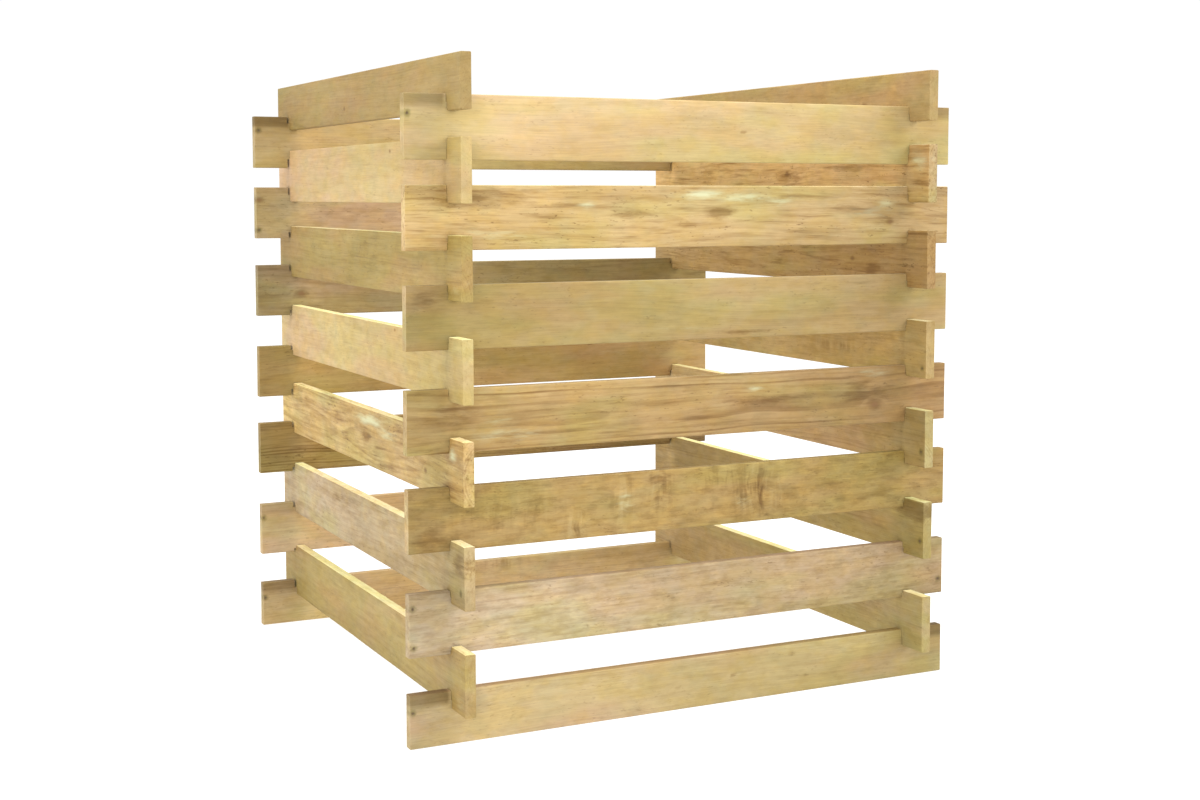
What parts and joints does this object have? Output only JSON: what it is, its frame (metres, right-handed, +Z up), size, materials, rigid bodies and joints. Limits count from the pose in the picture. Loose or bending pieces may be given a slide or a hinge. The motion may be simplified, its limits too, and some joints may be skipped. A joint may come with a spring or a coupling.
{
  "type": "slatted wooden composter",
  "caption": "Open-topped garden compost bin of notched wooden slats stacked crosswise like a log cabin, with air gaps in all walls.",
  "frame": {"origin": "on the ground at the centre of the plan", "axes": "+Z up, front boards run along X and face -Y, left boards stand at -X"},
  "size_m": [0.9, 0.9, 0.953],
  "materials": {
    "treated_pine": "planed softwood, pressure impregnated, matt"
  },
  "bodies": {
    "ground_course": {"front_board_1": "treated_pine", "back_board_1": "treated_pine"},
    "course_2": {"left_board_1": "treated_pine", "right_board_1": "treated_pine"},
    "course_3": {"front_board_2": "treated_pine", "back_board_2": "treated_pine"},
    "course_4": {"left_board_2": "treated_pine", "right_board_2": "treated_pine"},
    "course_5": {"front_board_3": "treated_pine", "back_board_3": "treated_pine"},
    "course_6": {"left_board_3": "treated_pine", "right_board_3": "treated_pine"},
    "course_7": {"front_board_4": "treated_pine", "back_board_4": "treated_pine"},
    "course_8": {"left_board_4": "treated_pine", "right_board_4": "treated_pine"},
    "course_9": {"front_board_5": "treated_pine", "back_board_5": "treated_pine"},
    "course_10": {"left_board_5": "treated_pine", "right_board_5": "treated_pine"},
    "course_11": {"front_board_6": "treated_pine", "back_board_6": "treated_pine"},
    "course_12": {"left_board_6": "treated_pine", "right_board_6": "treated_pine"},
    "course_13": {"front_board_7": "treated_pine", "back_board_7": "treated_pine"},
    "left_rim_board": {"left_board_7": "treated_pine"},
    "right_rim_board": {"right_board_7": "treated_pine"}
  },
  "joints": [
    {"name": "lift_course_2", "type": "slide", "parent": "ground_course", "child": "course_2", "axis": [0, 0, 1], "range_m": [0, 0.06]},
    {"name": "lift_course_3", "type": "slide", "parent": "course_2", "child": "course_3", "axis": [0, 0, 1], "range_m": [0, 0.06]},
    {"name": "lift_course_4", "type": "slide", "parent": "course_3", "child": "course_4", "axis": [0, 0, 1], "range_m": [0, 0.06]},
    {"name": "lift_course_5", "type": "slide", "parent": "course_4", "child": "course_5", "axis": [0, 0, 1], "range_m": [0, 0.06]},
    {"name": "lift_course_6", "type": "slide", "parent": "course_5", "child": "course_6", "axis": [0, 0, 1], "range_m": [0, 0.06]},
    {"name": "lift_course_7", "type": "slide", "parent": "course_6", "child": "course_7", "axis": [0, 0, 1], "range_m": [0, 0.06]},
    {"name": "lift_course_8", "type": "slide", "parent": "course_7", "child": "course_8", "axis": [0, 0, 1], "range_m": [0, 0.06]},
    {"name": "lift_course_9", "type": "slide", "parent": "course_8", "child": "course_9", "axis": [0, 0, 1], "range_m": [0, 0.06]},
    {"name": "lift_course_10", "type": "slide", "parent": "course_9", "child": "course_10", "axis": [0, 0, 1], "range_m": [0, 0.06]},
    {"name": "lift_course_11", "type": "slide", "parent": "course_10", "child": "course_11", "axis": [0, 0, 1], "range_m": [0, 0.06]},
    {"name": "lift_course_12", "type": "slide", "parent": "course_11", "child": "course_12", "axis": [0, 0, 1], "range_m": [0, 0.06]},
    {"name": "lift_course_13", "type": "slide", "parent": "course_12", "child": "course_13", "axis": [0, 0, 1], "range_m": [0, 0.06]},
    {"name": "lift_left_rim_board", "type": "slide", "parent": "course_13", "child": "left_rim_board", "axis": [0, 0, 1], "range_m": [0, 0.06]},
    {"name": "lift_right_rim_board", "type": "slide", "parent": "course_13", "child": "right_rim_board", "axis": [0, 0, 1], "range_m": [0, 0.06]}
  ]
}
